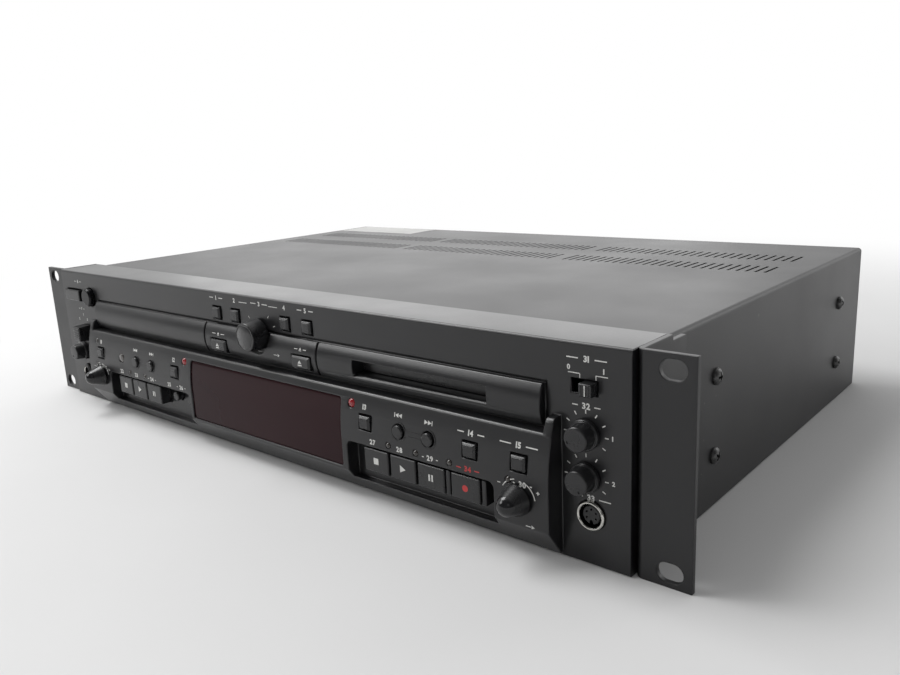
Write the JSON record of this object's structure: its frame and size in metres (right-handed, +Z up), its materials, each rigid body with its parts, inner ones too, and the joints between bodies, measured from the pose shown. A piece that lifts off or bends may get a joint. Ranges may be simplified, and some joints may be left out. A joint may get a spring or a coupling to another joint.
{
  "type": "rack-mount disc deck",
  "caption": "Two-unit rack-mount combination deck with a disc drawer, a cartridge slot, a central display, transport keys, pitch knobs and a jog knob.",
  "frame": {"origin": "under the middle of the deck's extents, in the plane it rests on", "axes": "+X to the deck's right as seen from the front, +Y from the front to the back, +Z up"},
  "size_m": [0.4826, 0.3222, 0.0881],
  "materials": {
    "black_metal": "satin black enamel",
    "fascia_black": "fine-textured moulding, satin",
    "key_black": "smooth satin moulding",
    "knob_black": "satin moulding",
    "window_smoke": "smoked red-brown acrylic",
    "lamp_clear": "small clear and red lenses",
    "zinc_steel": "zinc-plated sheet",
    "black_steel": "black zinc screws",
    "grey_plastic": "moulded frame plastic",
    "natural_plastic": "acetal",
    "circuit_board": "solder mask with parts",
    "core_steel": "varnished laminations and tape",
    "nickel": "nickel plate"
  },
  "bodies": {
    "case": {"chassis_base": "zinc_steel", "top_cover": "black_metal", "rear_panel": "black_metal", "front_panel": "fascia_black", "rack_ear_left": "black_metal", "rack_ear_right": "black_metal", "display_window": "window_smoke", "md_slot_bezel": "fascia_black", "case_screws": "black_steel", "cd_loader_frame": "grey_plastic", "md_mechanism": "zinc_steel", "main_board": "circuit_board", "power_transformer": "core_steel", "front_board": "circuit_board", "panel_lamps": "lamp_clear", "phones_jack": "nickel", "keyboard_jack": "nickel", "rear_jacks": "nickel", "ac_inlet": "key_black"},
    "cd_menu_key": {"cd_menu_button": "key_black"},
    "no_key": {"no_button": "key_black"},
    "yes_key": {"yes_button": "key_black"},
    "md_menu_key": {"md_menu_button": "key_black"},
    "open_close_key": {"open_close_button": "key_black"},
    "eject_key": {"eject_button": "key_black"},
    "cd_mode_key": {"cd_mode_button": "key_black"},
    "cd_select_key": {"cd_select_button": "key_black"},
    "md_select_key": {"md_select_button": "key_black"},
    "dubbing_key": {"dubbing_button": "key_black"},
    "input_select_key": {"input_select_button": "key_black"},
    "cd_stop_key": {"cd_stop_button": "key_black"},
    "cd_play_key": {"cd_play_button": "key_black"},
    "cd_pause_key": {"cd_pause_button": "key_black"},
    "md_stop_key": {"md_stop_button": "key_black"},
    "md_play_key": {"md_play_button": "key_black"},
    "md_pause_key": {"md_pause_button": "key_black"},
    "md_record_key": {"md_record_button": "key_black"},
    "cd_skip_back_key": {"cd_skip_back_button": "key_black"},
    "cd_skip_forward_key": {"cd_skip_forward_button": "key_black"},
    "md_skip_back_key": {"md_skip_back_button": "key_black"},
    "md_skip_forward_key": {"md_skip_forward_button": "key_black"},
    "time_key": {"time_button": "key_black"},
    "display_key": {"display_button": "key_black"},
    "power_key": {"power_button": "key_black"},
    "phones_level_dial": {"phones_level_knob": "knob_black"},
    "input_left_dial": {"input_left_knob": "knob_black"},
    "input_right_dial": {"input_right_knob": "knob_black"},
    "jog_rotor": {"jog_rotor": "natural_plastic"},
    "jog_dial": {"jog_knob": "knob_black"},
    "cd_pitch_rotor": {"cd_pitch_rotor": "natural_plastic"},
    "cd_pitch_dial": {"cd_pitch_knob": "knob_black"},
    "md_pitch_rotor": {"md_pitch_rotor": "natural_plastic"},
    "md_pitch_dial": {"md_pitch_knob": "knob_black"},
    "timer_grip": {"timer_switch_knob": "knob_black"},
    "cont_play_thumb": {"cont_play_slider": "knob_black"},
    "drawer": {"cd_tray": "grey_plastic", "cd_tray_front": "fascia_black"},
    "drive_gear": {"tray_drive_gear": "natural_plastic"},
    "turntable": {"cd_turntable": "grey_plastic"},
    "shutter": {"md_shutter": "key_black"}
  },
  "joints": [
    {"name": "cd_menu_press", "type": "slide", "parent": "case", "child": "cd_menu_key", "axis": [0, 1, 0], "range_m": [0, 0.001], "stiffness_N_per_m": 900, "springref_m": -0.001},
    {"name": "no_press", "type": "slide", "parent": "case", "child": "no_key", "axis": [0, 1, 0], "range_m": [0, 0.001], "stiffness_N_per_m": 900, "springref_m": -0.001},
    {"name": "yes_press", "type": "slide", "parent": "case", "child": "yes_key", "axis": [0, 1, 0], "range_m": [0, 0.001], "stiffness_N_per_m": 900, "springref_m": -0.001},
    {"name": "md_menu_press", "type": "slide", "parent": "case", "child": "md_menu_key", "axis": [0, 1, 0], "range_m": [0, 0.001], "stiffness_N_per_m": 900, "springref_m": -0.001},
    {"name": "open_close_press", "type": "slide", "parent": "case", "child": "open_close_key", "axis": [0, 1, 0], "range_m": [0, 0.001], "stiffness_N_per_m": 900, "springref_m": -0.001},
    {"name": "eject_press", "type": "slide", "parent": "case", "child": "eject_key", "axis": [0, 1, 0], "range_m": [0, 0.001], "stiffness_N_per_m": 900, "springref_m": -0.001},
    {"name": "cd_mode_press", "type": "slide", "parent": "case", "child": "cd_mode_key", "axis": [0, 1, 0], "range_m": [0, 0.001], "stiffness_N_per_m": 900, "springref_m": -0.001},
    {"name": "cd_select_press", "type": "slide", "parent": "case", "child": "cd_select_key", "axis": [0, 1, 0], "range_m": [0, 0.001], "stiffness_N_per_m": 900, "springref_m": -0.001},
    {"name": "md_select_press", "type": "slide", "parent": "case", "child": "md_select_key", "axis": [0, 1, 0], "range_m": [0, 0.001], "stiffness_N_per_m": 900, "springref_m": -0.001},
    {"name": "dubbing_press", "type": "slide", "parent": "case", "child": "dubbing_key", "axis": [0, 1, 0], "range_m": [0, 0.001], "stiffness_N_per_m": 900, "springref_m": -0.001},
    {"name": "input_select_press", "type": "slide", "parent": "case", "child": "input_select_key", "axis": [0, 1, 0], "range_m": [0, 0.001], "stiffness_N_per_m": 900, "springref_m": -0.001},
    {"name": "cd_stop_press", "type": "slide", "parent": "case", "child": "cd_stop_key", "axis": [0, 1, 0], "range_m": [0, 0.001], "stiffness_N_per_m": 900, "springref_m": -0.001},
    {"name": "cd_play_press", "type": "slide", "parent": "case", "child": "cd_play_key", "axis": [0, 1, 0], "range_m": [0, 0.001], "stiffness_N_per_m": 900, "springref_m": -0.001},
    {"name": "cd_pause_press", "type": "slide", "parent": "case", "child": "cd_pause_key", "axis": [0, 1, 0], "range_m": [0, 0.001], "stiffness_N_per_m": 900, "springref_m": -0.001},
    {"name": "md_stop_press", "type": "slide", "parent": "case", "child": "md_stop_key", "axis": [0, 1, 0], "range_m": [0, 0.001], "stiffness_N_per_m": 900, "springref_m": -0.001},
    {"name": "md_play_press", "type": "slide", "parent": "case", "child": "md_play_key", "axis": [0, 1, 0], "range_m": [0, 0.001], "stiffness_N_per_m": 900, "springref_m": -0.001},
    {"name": "md_pause_press", "type": "slide", "parent": "case", "child": "md_pause_key", "axis": [0, 1, 0], "range_m": [0, 0.001], "stiffness_N_per_m": 900, "springref_m": -0.001},
    {"name": "md_record_press", "type": "slide", "parent": "case", "child": "md_record_key", "axis": [0, 1, 0], "range_m": [0, 0.001], "stiffness_N_per_m": 900, "springref_m": -0.001},
    {"name": "cd_skip_back_press", "type": "slide", "parent": "case", "child": "cd_skip_back_key", "axis": [0, 1, 0], "range_m": [0, 0.001], "stiffness_N_per_m": 900, "springref_m": -0.001},
    {"name": "cd_skip_forward_press", "type": "slide", "parent": "case", "child": "cd_skip_forward_key", "axis": [0, 1, 0], "range_m": [0, 0.001], "stiffness_N_per_m": 900, "springref_m": -0.001},
    {"name": "md_skip_back_press", "type": "slide", "parent": "case", "child": "md_skip_back_key", "axis": [0, 1, 0], "range_m": [0, 0.001], "stiffness_N_per_m": 900, "springref_m": -0.001},
    {"name": "md_skip_forward_press", "type": "slide", "parent": "case", "child": "md_skip_forward_key", "axis": [0, 1, 0], "range_m": [0, 0.001], "stiffness_N_per_m": 900, "springref_m": -0.001},
    {"name": "time_press", "type": "slide", "parent": "case", "child": "time_key", "axis": [0, 1, 0], "range_m": [0, 0.001], "stiffness_N_per_m": 900, "springref_m": -0.001},
    {"name": "display_press", "type": "slide", "parent": "case", "child": "display_key", "axis": [0, 1, 0], "range_m": [0, 0.001], "stiffness_N_per_m": 900, "springref_m": -0.001},
    {"name": "power_press", "type": "slide", "parent": "case", "child": "power_key", "axis": [0, 1, 0], "range_m": [0, 0.002], "stiffness_N_per_m": 900, "springref_m": -0.001},
    {"name": "phones_level_turn", "type": "hinge", "parent": "case", "child": "phones_level_dial", "pos_m": [-0.199, -0.1481, 0.0331], "axis": [0, 1, 0], "range_deg": [-150, 150]},
    {"name": "input_left_turn", "type": "hinge", "parent": "case", "child": "input_left_dial", "pos_m": [0.1994, -0.1481, 0.0531], "axis": [0, 1, 0], "range_deg": [-150, 150]},
    {"name": "input_right_turn", "type": "hinge", "parent": "case", "child": "input_right_dial", "pos_m": [0.1994, -0.1481, 0.0359], "axis": [0, 1, 0], "range_deg": [-150, 150]},
    {"name": "jog_turn", "type": "hinge", "parent": "case", "child": "jog_rotor", "pos_m": [0.0048, -0.1381, 0.0686], "axis": [0, 1, 0], "continuous": true},
    {"name": "jog_push", "type": "slide", "parent": "jog_rotor", "child": "jog_dial", "axis": [0, 1, 0], "range_m": [0, 0.0008], "stiffness_N_per_m": 900, "springref_m": -0.001},
    {"name": "cd_pitch_turn", "type": "hinge", "parent": "case", "child": "cd_pitch_rotor", "pos_m": [-0.1575, -0.1381, 0.024], "axis": [0, 1, 0], "range_deg": [-150, 150]},
    {"name": "cd_pitch_push", "type": "slide", "parent": "cd_pitch_rotor", "child": "cd_pitch_dial", "axis": [0, 1, 0], "range_m": [0, 0.0008], "stiffness_N_per_m": 900, "springref_m": -0.001},
    {"name": "md_pitch_turn", "type": "hinge", "parent": "case", "child": "md_pitch_rotor", "pos_m": [0.1744, -0.1381, 0.024], "axis": [0, 1, 0], "range_deg": [-150, 150]},
    {"name": "md_pitch_push", "type": "slide", "parent": "md_pitch_rotor", "child": "md_pitch_dial", "axis": [0, 1, 0], "range_m": [0, 0.0008], "stiffness_N_per_m": 900, "springref_m": -0.001},
    {"name": "timer_slide", "type": "slide", "parent": "case", "child": "timer_grip", "axis": [1, 0, 0], "range_m": [-0.0035, 0.0035]},
    {"name": "cont_play_slide", "type": "slide", "parent": "case", "child": "cont_play_thumb", "axis": [-1, 0, 0], "range_m": [0, 0.0052]},
    {"name": "cd_tray_slide", "type": "slide", "parent": "case", "child": "drawer", "axis": [0, -1, 0], "range_m": [0, 0.14]},
    {"name": "tray_gear_turn", "type": "hinge", "parent": "case", "child": "drive_gear", "pos_m": [-0.0272, -0.1061, 0.05555], "axis": [0, 0, 1], "continuous": true},
    {"name": "cd_turntable_spin", "type": "hinge", "parent": "case", "child": "turntable", "pos_m": [-0.10565, -0.0601, 0.05], "axis": [0, 0, 1], "continuous": true},
    {"name": "md_shutter_swing", "type": "hinge", "parent": "case", "child": "shutter", "pos_m": [0.1164, -0.1365, 0.0659], "axis": [1, 0, 0], "range_deg": [0, 78], "stiffness_Nm_per_rad": 0.004, "springref_deg": -11.46}
  ],
  "couplings": [
    {"joint": "tray_gear_turn", "follows": "cd_tray_slide", "rad_per_m": 55.556}
  ]
}
